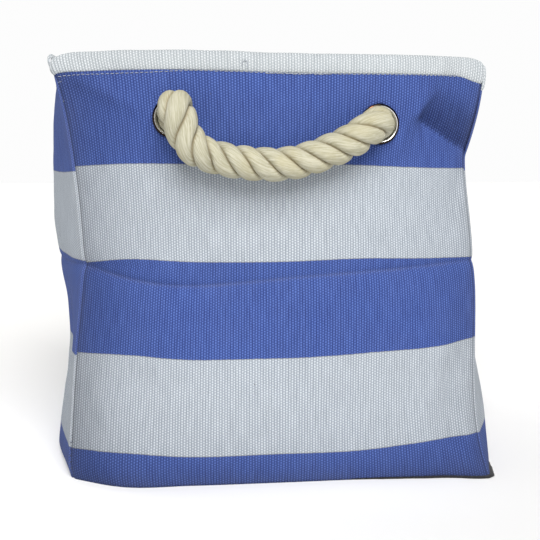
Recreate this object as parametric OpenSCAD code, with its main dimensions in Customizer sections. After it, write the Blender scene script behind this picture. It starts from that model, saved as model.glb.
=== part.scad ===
// Square soft storage bin of striped canvas, with a rope handle on its front and on its back.
// Millimetres. The origin is the centre of the underside, +Z is up, and the front faces -Y.
// The four canvas walls bow outward between their corner seams, so every wall is an arc in plan.

/* [Walls] */
// Straight distance between the two corner seams of the front wall, and of the back wall
front_chord = 268; // [240:1:320]
// Straight distance between the two corner seams of each side wall
side_chord = 268; // [240:1:320]
// How far the front and back walls bow out past their corner seams
front_bulge = 16; // [10:1:24]
// How far the side walls bow out past their corner seams
side_bulge = 22; // [14:1:30]
// Height of the rim above the floor
rim_z = 264; // [240:1:320]
// Thickness of the coated canvas
canvas_t = 1.2; // [0.8:0.1:1.6]
// Depth of the hem that is turned in at the rim
hem_depth = 12; // [8:1:20]

/* [Seams] */
// Thickness of the black seam tape inside the bin
tape_t = 0.8; // [0.5:0.1:1.2]
// Width of the seam tape on each side of a seam
tape_w = 9; // [6:1:14]
// Diameter of the sewing thread
thread_d = 0.7; // [0.4:0.1:1]

/* [Base] */
// Thickness of the black base cloth
base_t = 1.2; // [0.8:0.1:2]
// How far the base cloth's edge stands out past the walls
base_lip = 0.6; // [0:0.1:1.5]
// Width of the loose stiffening board, left to right
board_w = 246; // [220:1:260]
// Depth of the loose stiffening board, front to back
board_d = 244; // [220:1:258]
// Thickness of the board
board_t = 2.4; // [1.5:0.1:4]
// Radius of the board's corners
board_corner_r = 18; // [4:1:25]
// Thickness of the cloth sleeve round the board
sleeve_t = 0.5; // [0.3:0.1:1]

/* [Eyelets] */
// Distance of each eyelet's centre from the middle of its wall
eyelet_x = 64; // [45:1:80]
// Height of the eyelets' centres above the floor
eyelet_z = 225; // [200:1:240]
// Radius of the hole through an eyelet
eyelet_bore_r = 10.3; // [8.3:0.1:12.3]
// Radius of the rounded section of an eyelet's lip
lip_r = 1.1; // [0.8:0.1:1.6]
// Wall thickness of an eyelet's barrel
barrel_t = 0.7; // [0.5:0.1:1]
// Outer radius of the washer behind each eyelet
washer_r = 14; // [13:0.1:18]
// Thickness of that washer
washer_t = 0.6; // [0.4:0.1:1]

/* [Rope handles] */
// Diameter of the rope
rope_d = 20; // [16:0.5:20]
// How far out from the wall a handle bends as it swings
pivot_out = 14.5; // [14:0.5:18]
// How far a hanging handle leans out from the vertical, in degrees
loop_lean = 6; // [4:1:20]
// Radius of each turn of the knots inside, measured to the middle of the rope
knot_turn_r = 12.5; // [11:0.5:16]
// Length of the loose rope tail below each knot
tail_l = 22; // [15:1:30]

/* [Hidden] */

// Facets of the long arcs, of ordinary round parts and of the rope
ARC_FN = 360;
ROUND_FN = 64;
ROPE_SIDES = 12;

// Compass turns that bring the +X side of the plan round to each wall
RIGHT = 0;
BACK = 90;
LEFT = 180;
FRONT = 270;

// Radius of an arc that rises by bulge over chord
function bow_r(chord, bulge) = (pow(chord / 2, 2) + pow(bulge, 2)) / (2 * bulge);
front_r = bow_r(front_chord, front_bulge);
side_r = bow_r(side_chord, side_bulge);
front_reach = side_chord / 2 + front_bulge;
side_reach = front_chord / 2 + side_bulge;
function is_long(turn) = turn == FRONT || turn == BACK;
function wall_r(turn) = is_long(turn) ? front_r : side_r;
function wall_reach(turn) = is_long(turn) ? front_reach : side_reach;

// Small clearances: round a barrel, and between pieces that a curved wall keeps apart
FIT = 0.1;
GAP = 0.3;
stitch_z = rim_z - hem_depth;
board_z = base_t + GAP;
eyelet_turn = asin(eyelet_x / front_r);
barrel_r = eyelet_bore_r + barrel_t;
// How far a flat washer's edge would sink into the curved inner face
washer_sink = front_r - canvas_t - sqrt(pow(front_r - canvas_t, 2) - pow(washer_r, 2));
washer_z = -canvas_t - washer_sink - FIT - washer_t;
clinch_r = 0.6;
clinch_z = washer_z - clinch_r;
knot_z = clinch_z - clinch_r - GAP;
rope_r = rope_d / 2;
stub_end_z = 2 * lip_r + 1;

// The hanging handle's middle line: [across the wall, drop below the eyelets]
pivot_x = (front_r + pivot_out) * sin(eyelet_turn);
pivot_y = (front_r - front_reach) - (front_r + pivot_out) * cos(eyelet_turn);
LOOP_ROUTE = [
    [-pivot_x, 0], [-64, 5], [-61, 11], [-56, 16.5], [-49, 21], [-40, 25], [-30, 27.5], [-18, 28.7],
    [-6, 28.5], [6, 26.5], [18, 22.5], [29, 18], [39, 13.5], [49, 9], [58, 4.5], [pivot_x, 0],
];

// ---- Plan outline -------------------------------------------------------------------------

// A disc whose edge is the outer face of one wall, moved out by grow
module wall_disc(turn, grow, height) {
    rotate([0, 0, turn])
        translate([wall_reach(turn) - wall_r(turn), 0, 0])
            cylinder(h = height, r = wall_r(turn) + grow, $fn = ARC_FN);
}

// Everything inside the four bowed walls, between two heights
module outline(grow, bottom, top) {
    translate([0, 0, bottom])
        intersection() {
            wall_disc(FRONT, grow, top - bottom);
            wall_disc(RIGHT, grow, top - bottom);
            wall_disc(BACK, grow, top - bottom);
            wall_disc(LEFT, grow, top - bottom);
        }
}

// The quarter of the plan that belongs to one wall, out through its two corner seams
module quarter(turn) {
    reach = is_long(turn) ? side_chord : front_chord;
    half = is_long(turn) ? front_chord : side_chord;
    rotate([0, 0, turn])
        translate([0, 0, -1])
            linear_extrude(height = rim_z + 10)
                polygon([[0, 0], [reach, -half], [reach, half]]);
}

// A skin that follows all four walls, from one offset to another
module skin(inner, outer, bottom, top) {
    difference() {
        outline(outer, bottom, top);
        outline(inner, bottom - 1, top + 1);
    }
}

// ---- Canvas -------------------------------------------------------------------------------

module plain_panel(turn) {
    intersection() {
        skin(-canvas_t, 0, base_t, rim_z);
        quarter(turn);
    }
}

module pierced_panel(turn) {
    difference() {
        plain_panel(turn);
        for (side = [-1, 1])
            at_eyelet(turn, side)
                translate([0, 0, -10])
                    cylinder(h = 20, r = barrel_r + FIT, $fn = ROUND_FN);
    }
}

// The turned-in layer of the hem, and the round fold that closes it at the rim
module rim_hem(turn) {
    r = wall_r(turn);
    intersection() {
        rotate([0, 0, turn])
            translate([wall_reach(turn) - r, 0, 0])
                rotate_extrude($fn = ARC_FN) {
                    translate([r - 2 * canvas_t, stitch_z])
                        square([canvas_t, hem_depth]);
                    intersection() {
                        translate([r - canvas_t, rim_z])
                            circle(r = canvas_t, $fn = ROUND_FN);
                        translate([r - 2 * canvas_t, rim_z])
                            square([2 * canvas_t, canvas_t]);
                    }
                }
        quarter(turn);
    }
}

// One row of lockstitch along the foot of the hem
module hem_stitching(turn) {
    intersection() {
        skin(0, thread_d / 2, stitch_z, stitch_z + thread_d);
        quarter(turn);
    }
}

// ---- Seams --------------------------------------------------------------------------------

module at_corner(across, along) {
    translate([across * front_chord / 2, along * side_chord / 2, 0])
        children();
}

module seam_tape(across, along) {
    bottom = base_t + tape_w;
    intersection() {
        skin(-canvas_t - tape_t, -canvas_t, bottom, stitch_z - 1);
        at_corner(across, along)
            cylinder(h = rim_z, r = tape_w, $fn = ROUND_FN);
    }
}

module seam_thread(across, along) {
    out = thread_d / 2 / sqrt(2);
    at_corner(across, along)
        translate([across * out, along * out, base_t + 3])
            cylinder(h = stitch_z - base_t - 4, d = thread_d, $fn = ROUND_FN);
}

// ---- Base ---------------------------------------------------------------------------------

module base_panel() {
    color("#1c1c20") outline(base_lip, 0, base_t);
}

module base_seam_tape() {
    color("#1c1c20") skin(-canvas_t - tape_t, -canvas_t, base_t, base_t + tape_w);
}

module base_seam_thread() {
    inner = -canvas_t - tape_t;
    color("#2a2a30") skin(inner - thread_d / 2, inner, base_t + tape_w / 2, base_t + tape_w / 2 + thread_d);
}

module base_board() {
    straight_w = board_w - 2 * board_corner_r;
    straight_d = board_d - 2 * board_corner_r;
    color("#8d8579")
        translate([0, 0, board_z + sleeve_t]) {
            translate([-board_w / 2, -straight_d / 2, 0])
                cube([board_w, straight_d, board_t]);
            translate([-straight_w / 2, -board_d / 2, 0])
                cube([straight_w, board_d, board_t]);
            for (x = [-1, 1], y = [-1, 1])
                translate([x * straight_w / 2, y * straight_d / 2, 0])
                    cylinder(h = board_t, r = board_corner_r, $fn = ROUND_FN);
        }
}

// Flat sleeve, sewn shut along its sides and open front and back
module base_board_sleeve() {
    sleeve_d = board_d - 2 * board_corner_r;
    color("#26262b")
        translate([0, 0, board_z])
            difference() {
                translate([-board_w / 2 - sleeve_t, -sleeve_d / 2, 0])
                    cube([board_w + 2 * sleeve_t, sleeve_d, board_t + 2 * sleeve_t]);
                translate([-board_w / 2, -sleeve_d / 2 - 1, sleeve_t])
                    cube([board_w, sleeve_d + 2, board_t]);
            }
}

// ---- Eyelets and rope ---------------------------------------------------------------------

// Children are drawn at an eyelet's centre on the wall's outer face, with +Z straight out
module at_eyelet(turn, side) {
    rotate([0, 0, turn])
        translate([front_reach - front_r, 0, 0])
            rotate([0, 0, side * eyelet_turn])
                translate([front_r, 0, eyelet_z])
                    rotate([0, 90, 0])
                        children();
}

module eyelet(turn, side) {
    color("#d8dadd")
        at_eyelet(turn, side)
            rotate_extrude($fn = ROUND_FN) {
                translate([eyelet_bore_r + lip_r, lip_r + FIT])
                    circle(r = lip_r, $fn = 32);
                translate([eyelet_bore_r, clinch_z])
                    square([barrel_t, lip_r + FIT - clinch_z]);
                translate([eyelet_bore_r + clinch_r, clinch_z])
                    circle(r = clinch_r, $fn = 32);
            }
}

module washer(turn, side) {
    color("#b9bcc0")
        at_eyelet(turn, side)
            translate([0, 0, washer_z])
                difference() {
                    cylinder(h = washer_t, r = washer_r, $fn = ROUND_FN);
                    translate([0, 0, -1])
                        cylinder(h = washer_t + 2, r = barrel_r + FIT, $fn = ROUND_FN);
                }
}

// The rope from just outside an eyelet, through it, round its stopper knot and down to its tail
module rope_end(turn, side) {
    turn_z = knot_z - rope_r;
    color("#ddd3b4")
        at_eyelet(turn, side) {
            translate([0, 0, turn_z])
                cylinder(h = stub_end_z - turn_z, r = rope_r, $fn = ROUND_FN);
            for (z = [turn_z, turn_z - 0.7 * rope_d])
                translate([0, 0, z])
                    rotate_extrude($fn = ROUND_FN)
                        translate([knot_turn_r, 0])
                            circle(r = rope_r, $fn = 32);
            translate([0, 0, turn_z - 0.7 * rope_d])
                cylinder(h = 0.7 * rope_d, r = knot_turn_r, $fn = ROUND_FN);
            translate([knot_turn_r, 0, turn_z - 0.7 * rope_d])
                rotate([0, 90, 0])
                    cylinder(h = tail_l, r = rope_r, $fn = ROUND_FN);
        }
}

// A route point on the plane in which the handle hangs
function on_loop(p) = [
    p[0],
    pivot_y - p[1] * sin(loop_lean),
    eyelet_z - p[1] * cos(loop_lean),
];
LOOP_OUT = [0, -cos(loop_lean), sin(loop_lean)];
function unit(v) = v / norm(v);
function heading(pts, i) = unit(pts[min(i + 1, len(pts) - 1)] - pts[max(i - 1, 0)]);

// One ring of rope surface: centre, direction of the rope there, and radius
function ring(centre, along, r) = [
    for (k = [0 : ROPE_SIDES - 1])
        let (a = 360 * k / ROPE_SIDES)
            centre + r * (cos(a) * LOOP_OUT + sin(a) * cross(along, LOOP_OUT))
];

// Rings that round off an end: sign is -1 before the start of the rope and 1 past its end
DOME = [15, 40, 65];
function dome(centre, along, sign) = [
    for (i = [0 : len(DOME) - 1])
        let (a = sign < 0 ? DOME[i] : DOME[len(DOME) - 1 - i])
            ring(centre + sign * along * rope_r * cos(a), along, rope_r * sin(a))
];

module rope_loop(turn) {
    pts = [for (p = LOOP_ROUTE) on_loop(p)];
    last = len(pts) - 1;
    rings = concat(
        dome(pts[0], heading(pts, 0), -1),
        [for (i = [0 : last]) ring(pts[i], heading(pts, i), rope_r)],
        dome(pts[last], heading(pts, last), 1)
    );
    n = ROPE_SIDES;
    top = (len(rings) - 1) * n;
    color("#ddd3b4")
        rotate([0, 0, turn - FRONT])
            polyhedron(
                points = [for (r = rings) for (p = r) p],
                faces = concat(
                    [[for (k = [0 : n - 1]) k]],
                    [
                        for (j = [0 : len(rings) - 2], k = [0 : n - 1])
                            let (a = j * n, b = (k + 1) % n)
                                [a + k, a + n + k, a + n + b, a + b]
                    ],
                    [[for (k = [n - 1 : -1 : 0]) top + k]]
                )
            );
}

// ---- Drawing ------------------------------------------------------------------------------

module front_panel() { color("#5f73c0") pierced_panel(FRONT); }
module back_panel() { color("#5f73c0") pierced_panel(BACK); }
module left_panel() { color("#5568b0") plain_panel(LEFT); }
module right_panel() { color("#5568b0") plain_panel(RIGHT); }
module front_rim_hem() { color("#e6e9ec") rim_hem(FRONT); }
module back_rim_hem() { color("#e6e9ec") rim_hem(BACK); }
module left_rim_hem() { color("#e6e9ec") rim_hem(LEFT); }
module right_rim_hem() { color("#e6e9ec") rim_hem(RIGHT); }
module front_hem_stitching() { color("#f4f1e6") hem_stitching(FRONT); }
module back_hem_stitching() { color("#f4f1e6") hem_stitching(BACK); }
module left_hem_stitching() { color("#f4f1e6") hem_stitching(LEFT); }
module right_hem_stitching() { color("#f4f1e6") hem_stitching(RIGHT); }
module front_left_seam_tape() { color("#1c1c20") seam_tape(-1, -1); }
module front_right_seam_tape() { color("#1c1c20") seam_tape(1, -1); }
module back_left_seam_tape() { color("#1c1c20") seam_tape(-1, 1); }
module back_right_seam_tape() { color("#1c1c20") seam_tape(1, 1); }
module front_left_seam_thread() { color("#2b3566") seam_thread(-1, -1); }
module front_right_seam_thread() { color("#2b3566") seam_thread(1, -1); }
module back_left_seam_thread() { color("#2b3566") seam_thread(-1, 1); }
module back_right_seam_thread() { color("#2b3566") seam_thread(1, 1); }
module front_left_eyelet() { eyelet(FRONT, -1); }
module front_right_eyelet() { eyelet(FRONT, 1); }
module back_left_eyelet() { eyelet(BACK, 1); }
module back_right_eyelet() { eyelet(BACK, -1); }
module front_left_washer() { washer(FRONT, -1); }
module front_right_washer() { washer(FRONT, 1); }
module back_left_washer() { washer(BACK, 1); }
module back_right_washer() { washer(BACK, -1); }
module front_left_rope_end() { rope_end(FRONT, -1); }
module front_right_rope_end() { rope_end(FRONT, 1); }
module back_left_rope_end() { rope_end(BACK, 1); }
module back_right_rope_end() { rope_end(BACK, -1); }
module front_rope_loop() { rope_loop(FRONT); }
module back_rope_loop() { rope_loop(BACK); }

front_panel();
back_panel();
left_panel();
right_panel();
front_rim_hem();
back_rim_hem();
left_rim_hem();
right_rim_hem();
front_hem_stitching();
back_hem_stitching();
left_hem_stitching();
right_hem_stitching();
front_left_seam_tape();
front_right_seam_tape();
back_left_seam_tape();
back_right_seam_tape();
front_left_seam_thread();
front_right_seam_thread();
back_left_seam_thread();
back_right_seam_thread();
base_panel();
base_seam_tape();
base_seam_thread();
base_board();
base_board_sleeve();
front_left_eyelet();
front_right_eyelet();
back_left_eyelet();
back_right_eyelet();
front_left_washer();
front_right_washer();
back_left_washer();
back_right_washer();
front_left_rope_end();
front_right_rope_end();
back_left_rope_end();
back_right_rope_end();
front_rope_loop();
back_rope_loop();
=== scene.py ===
import math

import bpy
import numpy as np
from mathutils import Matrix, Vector


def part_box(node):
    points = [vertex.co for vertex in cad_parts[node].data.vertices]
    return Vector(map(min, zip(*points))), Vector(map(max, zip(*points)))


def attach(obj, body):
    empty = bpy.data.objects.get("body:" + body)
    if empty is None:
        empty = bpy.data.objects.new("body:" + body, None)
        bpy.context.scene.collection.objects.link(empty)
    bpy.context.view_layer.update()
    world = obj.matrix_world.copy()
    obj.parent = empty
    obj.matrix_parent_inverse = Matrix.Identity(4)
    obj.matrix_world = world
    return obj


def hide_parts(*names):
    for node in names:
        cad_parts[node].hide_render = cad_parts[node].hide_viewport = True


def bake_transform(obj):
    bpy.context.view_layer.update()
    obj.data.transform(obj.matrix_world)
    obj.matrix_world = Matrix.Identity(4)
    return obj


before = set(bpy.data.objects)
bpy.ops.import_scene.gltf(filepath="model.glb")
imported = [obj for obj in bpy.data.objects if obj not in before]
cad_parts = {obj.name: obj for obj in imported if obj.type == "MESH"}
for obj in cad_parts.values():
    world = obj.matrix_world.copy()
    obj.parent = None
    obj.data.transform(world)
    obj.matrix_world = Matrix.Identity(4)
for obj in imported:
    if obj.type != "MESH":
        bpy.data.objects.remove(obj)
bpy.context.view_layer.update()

# Looks for a square storage bin of striped canvas with a rope handle on its front and back.
# Metres, same frame as the CAD: -Y is the front, +X the right, the floor is z = 0.
MM = 0.001

# ---- Sizes taken from the CAD frame --------------------------------------------------------

HALF_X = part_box("front_panel")[1].x
HALF_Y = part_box("right_panel")[1].y
FRONT_REACH = -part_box("front_panel")[0].y
SIDE_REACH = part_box("right_panel")[1].x
RIM_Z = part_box("front_panel")[1].z
EYELET_LO, EYELET_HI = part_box("front_right_eyelet")
EYELET_X = 0.064
EYELET_Z = (EYELET_LO.z + EYELET_HI.z) / 2
# How far each front eyelet has crept sideways and sunk on the soft wall
EYELET_SHIFT = {"left": 1.2 * MM, "right": -2.7 * MM}
EYELET_DROP = {"left": 0.1 * MM, "right": 3.6 * MM}
CANVAS_T = 1.2 * MM
HEM_DEPTH = 12 * MM
ROPE_R = 10 * MM

# Weave: distance between neighbouring warp threads, and between neighbouring weft threads
WARP_PITCH = 1.72 * MM
WEFT_PITCH = 0.82 * MM

# Printed stripes: the lowest boundary and the height of one stripe
STRIPE_START = 19.7 * MM
STRIPE_HEIGHT = 59.3 * MM

# ---- Small maths helpers -------------------------------------------------------------------


def bow_radius(half, bulge):
    return (half * half + bulge * bulge) / (2 * bulge)


def smooth(x, low, high):
    t = np.clip((np.asarray(x, float) - low) / (high - low), 0, 1)
    return t * t * (3 - 2 * t)


def natural_spline(xs, ys, x):
    """Cubic through (xs, ys rows) at x, with no curvature at its ends. ys may have columns."""
    xs = np.asarray(xs, float)
    ys = np.asarray(ys, float)
    n = len(xs)
    h = np.diff(xs)
    m = np.eye(n)
    rhs = np.zeros_like(ys)
    for i in range(1, n - 1):
        m[i, i - 1:i + 2] = h[i - 1], 2 * (h[i - 1] + h[i]), h[i]
        rhs[i] = 6 * ((ys[i + 1] - ys[i]) / h[i] - (ys[i] - ys[i - 1]) / h[i - 1])
    bend = np.linalg.solve(m, rhs)
    x = np.clip(np.asarray(x, float), xs[0], xs[-1])
    i = np.clip(np.searchsorted(xs, x) - 1, 0, n - 2)
    shape = (-1,) + (1,) * (ys.ndim - 1)
    a = ((xs[i + 1] - x) / h[i]).reshape(shape)
    b = 1 - a
    hh = (h[i] ** 2 / 6).reshape(shape)
    return a * ys[i] + b * ys[i + 1] + ((a**3 - a) * bend[i] + (b**3 - b) * bend[i + 1]) * hh


def net_value(net, rows, columns, r, c):
    """Smooth surface through a net of values, at every pair (r, c)."""
    by_row = natural_spline(rows, np.asarray(net, float), r)
    i = np.arange(len(r))
    h = np.asarray(columns, float)
    c = np.clip(c, h[0], h[-1])
    k = np.clip(np.searchsorted(h, c) - 1, 0, len(h) - 2)
    slope = np.gradient(by_row, h, axis=1)
    step = h[k + 1] - h[k]
    t = (c - h[k]) / step
    return (
        (2 * t**3 - 3 * t**2 + 1) * by_row[i, k]
        + (t**3 - 2 * t**2 + t) * step * slope[i, k]
        + (3 * t**2 - 2 * t**3) * by_row[i, k + 1]
        + (t**3 - t**2) * step * slope[i, k + 1]
    )


def ripples(seed, x, y, size, count=14):
    """Gentle random undulation, about -1 to 1, of waves near the given size."""
    rng = np.random.default_rng(seed)
    total = np.zeros_like(np.asarray(x, float))
    for _ in range(count):
        angle = rng.uniform(0, math.pi)
        wave = size * rng.uniform(0.6, 1.6)
        phase = rng.uniform(0, 2 * math.pi)
        total = total + np.sin(2 * math.pi * (x * math.cos(angle) + y * math.sin(angle)) / wave + phase)
    return total / math.sqrt(count)


# ---- How the soft walls lie ----------------------------------------------------------------

AXES = {
    "front": (np.array([0.0, -1, 0]), np.array([1.0, 0, 0])),
    "right": (np.array([1.0, 0, 0]), np.array([0.0, 1, 0])),
    "back": (np.array([0.0, 1, 0]), np.array([-1.0, 0, 0])),
    "left": (np.array([-1.0, 0, 0]), np.array([0.0, -1, 0])),
}
SIDES = list(AXES)
LEFT_OF = {"front": "left", "left": "back", "back": "right", "right": "front"}
RIGHT_OF = {b: a for a, b in LEFT_OF.items()}

# Millimetres by which each wall stands out from its CAD arc.
# One row per level from floor to rim, one column per width share from its left seam to its right.
LEVELS = np.array([0, 20, 80, 132, 198, 240, 264]) * MM
SHARES = np.array([-1, -0.75, -0.4, 0, 0.4, 0.75, 1])
PUSH = {
    "front": [
        [-5, 9, 4.5, 1, 2, 9, 15],
        [-10, 5, 4, 0, 2, 7, 9],
        [-13, -1, 1, 1, 1, 0, -5],
        [-4, 1, 1, 0, 0, -2, -8],
        [-7, -1, 0, 0, 0, -2, -8],
        [-12, -4, 0, -0.5, 0, -4, -11],
        [-15, -6, -2, -1, -2, -7, -14],
    ],
    "left": [
        [-6, -8, -8, -8, -7, -6, -3],
        [-6, -9, -11, -11, -10, -7.5, -4],
        [-7, -10, -14, -16.5, -18.5, -15, -8.5],
        [-12, -10, -9, -9, -12, -13, -14],
        [-7, -7, -7, -7.5, -9.5, -10, -10],
        [-3, -4.5, -6.5, -8.5, -10, -7.2, -2.5],
        [-1, -4, -9, -13, -14, -8, 4.5],
    ],
    "right": [
        [1, 2, 0, -4, -5, -4, -5],
        [-3.5, 1.5, -1, -6, -6, -4, -4],
        [-4.5, -7.5, -5, -8, -8, -6, -6],
        [-5, -10.5, -7, -6, -8, -9, -9],
        [-10, -17, -12, -6, -6, -7, -7],
        [-2.5, -8, -5, -3, -4, -4, -4],
        [1, -4, -3, -2, -2, -1, -2],
    ],
    "back": [
        [-8, 0, 0, -1, 0, 0, -8],
        [-8, 0, 1, 0, 1, 0, -8],
        [-5, 0, 1, 1, 1, 0, -6],
        [0, 2, 2, 1, 1, 1, 1],
        [4, 3, 1, 1, 1, 2, 3],
        [8, 6, 2, 2, 1, 5, 8],
        [11, 9, 6, 5, 6, 9, 11],
    ],
}
# Millimetres by which the rim hangs lower than its CAD height, at five width shares
DROP_SHARES = np.array([-1, -0.5, 0, 0.5, 1])
DROP = {
    "front": [0.8, 0, 1.6, 1.6, 0.8],
    "right": [5.0, 2.8, 3.0, 2.0, 0.5],
    "back": [0.5, 1.5, 2.2, 1.5, 0.5],
    "left": [0.5, 1.6, 2.4, 2.0, 0.5],
}
# Rim corners are rounded off beside each wall's left and right seams: width and height, mm
RIM_ROUND = {
    "front": ((16, 6.5), (15, 5.5)),
    "right": ((6, 1.3), (5, 4.5)),
    "back": ((5, 4.5), (5, 4.5)),
    "left": ((5, 4.5), (6, 6.8)),
}
# Fold left by flat packing, at about half height: its height at the same five shares, and depth
CREASE_Z = {
    "front": [136, 124, 128, 132, 136],
    "right": [136, 133, 131, 132, 134],
    "back": [134, 131, 130, 130, 133],
    "left": [133, 131, 132, 133, 136],
}
CREASE_DEPTH = {
    "front": [3.2, 3.4, 1.8, 2.8, 2.6],
    "right": [1.0, 1.8, 1.2, 1.6, 2.6],
    "back": [2.6, 1.4, 0.5, 1.3, 2.6],
    "left": [2.6, 1.8, 1.5, 2.4, 2.4],
}
# Single dents and ridges: share, height mm, half width mm, half height mm, outward mm, turn degrees
FOLDS = {
    "front": [
        (-1.0, -2, 30, 7, -4, 0),
        (-0.74, 240, 34, 6, 1.6, -28),
        (-0.62, 60, 12, 26, -2.2, 12),
        (-0.84, 50, 8, 36, 1.6, 6),
        (0.78, 70, 9, 42, 1.8, -14),
        (0.93, 34, 7, 30, 2.4, -6),
        (0.15, 60, 30, 34, 1.0, 0),
    ],
    "left": [
        (1.0, -2, 50, 8, -2.5, 0),
        (0.1, 70, 34, 30, 2.0, 20),
        (-0.5, 176, 26, 26, -3.0, -20),
    ],
    "right": [
        (-0.1, 180, 36, 26, -3.0, 10),
        (0.4, 70, 34, 28, 2.0, -15),
    ],
    "back": [
        (0.85, 190, 24, 30, -4, 10),
        (-0.7, 70, 20, 34, 2.0, 14),
        (0.1, 70, 40, 30, -1.6, 0),
    ],
}
# Straight valleys that end at a seam, and ridges where the depth is negative: share and height mm
# of each end, depth mm, and how far the cloth takes to rise again above and below it, mm
VALLEYS = {
    "front": [
        (0.675, 227, 1.0, 206, 12, 14, 30),
        (-0.93, 250, -0.50, 221, -2.2, 6, 9),
    ],
}
# Millimetres by which the print sits higher than nominal, at six heights and seven width shares
PRINT_LEVELS = np.array([0, 20, 79, 138, 197, 264]) * MM
PRINT_LIFT = {
    "front": [
        [0, 0, 0, 0, 0, 5, 8],
        [0, 2, 0, 0, 0.5, 5.5, 8],
        [1, 2.5, 0, 0.5, 2.3, 4.5, 8.5],
        [-1, 2.2, 0.5, 0.5, 1.8, 0.5, 0],
        [-1.3, 0, 0, 1.6, 0, -2, -2.5],
        [0] * 7,
    ],
    "left": [
        [0] * 7,
        [0] * 7,
        [0, 0, 0, 0, -1, -1, -1],
        [0] * 7,
        [0, 0, 0, -2, -4, -5, -4.5],
        [0] * 7,
    ],
    "right": [
        [7, 4, 0, 0, 0, 0, 0],
        [7, 8, 0, 0, 0, 0, 0],
        [8.5, 4, 0, 0, 0, 0, 0],
        [0] * 7,
        [-2, 0, 0, 0, 0, 0, 0],
        [0] * 7,
    ],
}
SEAM_TUCK = 1.1 * MM
SEAM_WIDTH = 3.2 * MM
# How far each wall's foot curls in under it, and from what height, mm
FOOT = {"front": (4.5, 18), "left": (2.0, 5), "right": (2.2, 5), "back": (3.0, 12)}


def wall_shape(side):
    long_wall = side in ("front", "back")
    half = HALF_X if long_wall else HALF_Y
    reach = FRONT_REACH if long_wall else SIDE_REACH
    return half, reach, bow_radius(half, reach - (HALF_Y if long_wall else HALF_X))


def eyelet_turn(sign):
    """Angle about the wall's own arc at which a front eyelet sits: sign -1 is the left one."""
    shift = EYELET_SHIFT["left" if sign < 0 else "right"]
    return math.asin((sign * EYELET_X + shift) / wall_shape("front")[2])


def wall_width(side):
    half, _, r = wall_shape(side)
    return 2 * r * math.asin(half / r)


def push_out(side, s, z):
    return net_value(PUSH[side], LEVELS, SHARES, z, s) * MM


def rim_round(side, s):
    """Quarter oval that takes the rim down beside a seam."""
    (left_wide, left_tall), (right_wide, right_tall) = RIM_ROUND[side]
    wide = np.where(s < 0, left_wide, right_wide) * MM
    tall = np.where(s < 0, left_tall, right_tall) * MM
    away = np.clip(1 - (1 - np.abs(s)) * wall_width(side) / 2 / wide, 0, 1)
    return tall * (1 - np.sqrt(1 - away**2))


def drop(side, s, z):
    sag = natural_spline(DROP_SHARES, DROP[side], s) * MM * smooth(z, 0.14, 0.25)
    return sag + rim_round(side, s) * smooth(z, RIM_Z - 0.016, RIM_Z)


def eyelet_calm(side, s, z):
    """1 away from the eyelets and 0 beside them, where the wall keeps to its CAD arc."""
    calm = np.ones_like(s)
    if side in ("front", "back"):
        half, _, r = wall_shape(side)
        for sign in (-1, 1):
            turn = eyelet_turn(sign)
            away = np.hypot((s * math.asin(half / r) - turn) * r, z - EYELET_Z)
            calm = calm * smooth(away, 0.012, 0.034)
    return calm


def crease(side, s, z):
    level = natural_spline(DROP_SHARES, CREASE_Z[side], s) * MM
    depth = natural_spline(DROP_SHARES, CREASE_DEPTH[side], s) * MM
    away = np.sqrt((z - level) ** 2 + (0.5 * MM) ** 2)
    return -depth * (0.75 * np.exp(-away / (7 * MM)) + 0.4 * np.exp(-away / (1.6 * MM)))


def folds(side, s, z):
    total = np.zeros_like(s)
    width = wall_width(side) / 2
    for share, height, wide, tall, out, turn in FOLDS[side]:
        x = (s - share) * width
        y = z - height * MM
        c, t = math.cos(math.radians(turn)), math.sin(math.radians(turn))
        d = ((x * c + y * t) / (wide * MM)) ** 2 + ((y * c - x * t) / (tall * MM)) ** 2
        total += out * MM * np.exp(-d)
    return total


def valley_parts(side, s, z):
    """For each valley: its depth, 1 at its line fading to 0 around it, and which points are above."""
    width = wall_width(side) / 2
    for share_a, height_a, share_b, height_b, depth, above, below in VALLEYS.get(side, []):
        run = np.array([(share_b - share_a) * width, (height_b - height_a) * MM])
        length = np.hypot(*run)
        x, y = (s - share_a) * width, z - height_a * MM
        along = (x * run[0] + y * run[1]) / length**2
        off = (y * run[0] - x * run[1]) / length
        away = np.sqrt(off**2 + (0.7 * MM) ** 2) / (np.where(off > 0, above, below) * MM)
        under = np.clip(-off / (12 * MM), 0, 1)
        ends = smooth(along + 0.08 + 0.5 * under, 0, 0.2 + 0.9 * under) * smooth(along, 1.4, 1.0)
        yield depth * MM, np.exp(-away) * ends, off > 0


def valleys(side, s, z):
    return -sum(depth * share for depth, share, _ in valley_parts(side, s, z)) if side in VALLEYS else 0 * s


def relief(side, s, z):
    """Crease, folds and valleys together."""
    return crease(side, s, z) + folds(side, s, z) + valleys(side, s, z)


def undulation(side, s, z):
    seed = 11 + SIDES.index(side)
    x = s * wall_width(side) / 2
    edge = smooth(1 - np.abs(s), 0, 0.12) * smooth(z, 0, 0.03)
    broad = 0.9 * MM * ripples(seed, x, z, 0.11)
    fine = 0.16 * MM * ripples(seed + 20, x, z, 0.026)
    return (broad + fine) * edge


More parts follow.
